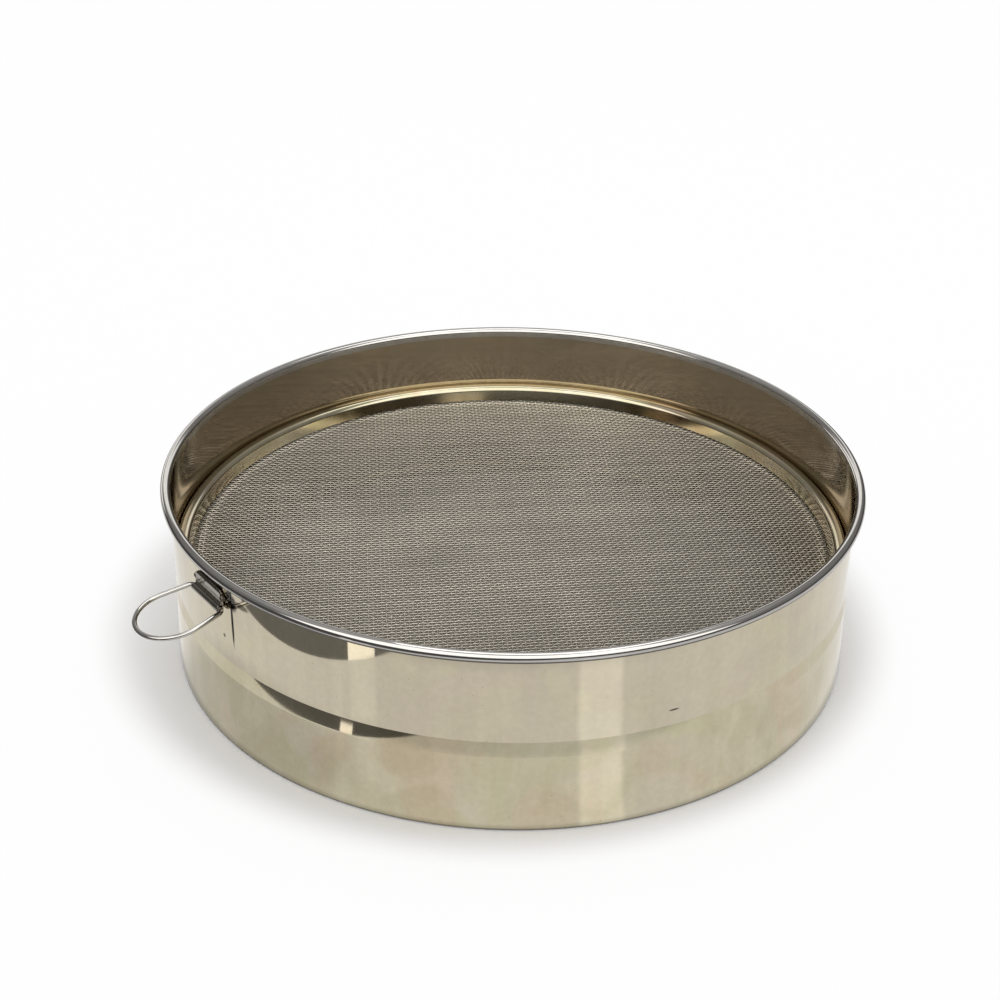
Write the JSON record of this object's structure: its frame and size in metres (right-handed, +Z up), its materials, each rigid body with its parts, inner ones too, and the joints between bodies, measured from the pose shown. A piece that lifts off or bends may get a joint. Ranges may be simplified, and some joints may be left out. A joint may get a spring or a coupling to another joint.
{
  "type": "tamis drum sieve",
  "caption": "Round steel drum sieve with a rolled rim, a flat wire cloth clamped across the drum, a stepped hemmed skirt and a hinged hanging loop.",
  "frame": {"origin": "on the drum's axis, in the plane that the base rests on", "axes": "+Z up along the drum's axis from the base to the rim; -X towards the hanging loop"},
  "size_m": [0.3287, 0.3, 0.081],
  "materials": {
    "hoop_sheet": "bright rolled stainless sheet, near mirror",
    "ring_sheet": "bright pressed stainless sheet",
    "plain_wire": "drawn steel wire",
    "wire_cloth": "plain woven stainless wire",
    "bright_wire": "polished stainless wire",
    "strap_sheet": "folded stainless strip with bright edges",
    "weld_metal": "spot weld with dark heat tint"
  },
  "bodies": {
    "drum": {"upper_hoop": "hoop_sheet", "lower_hoop": "hoop_sheet", "retaining_ring": "ring_sheet", "rim_wire": "plain_wire", "edge_wire": "plain_wire", "mesh_cloth": "wire_cloth", "loop_strap": "strap_sheet", "strap_welds": "weld_metal"},
    "loop": {"hanging_loop": "bright_wire"}
  },
  "joints": [
    {"name": "loop_hinge", "type": "hinge", "parent": "drum", "child": "loop", "pos_m": [-0.14802, 0, 0.0649], "axis": [0, 1, 0], "range_deg": [-78, 80]}
  ]
}
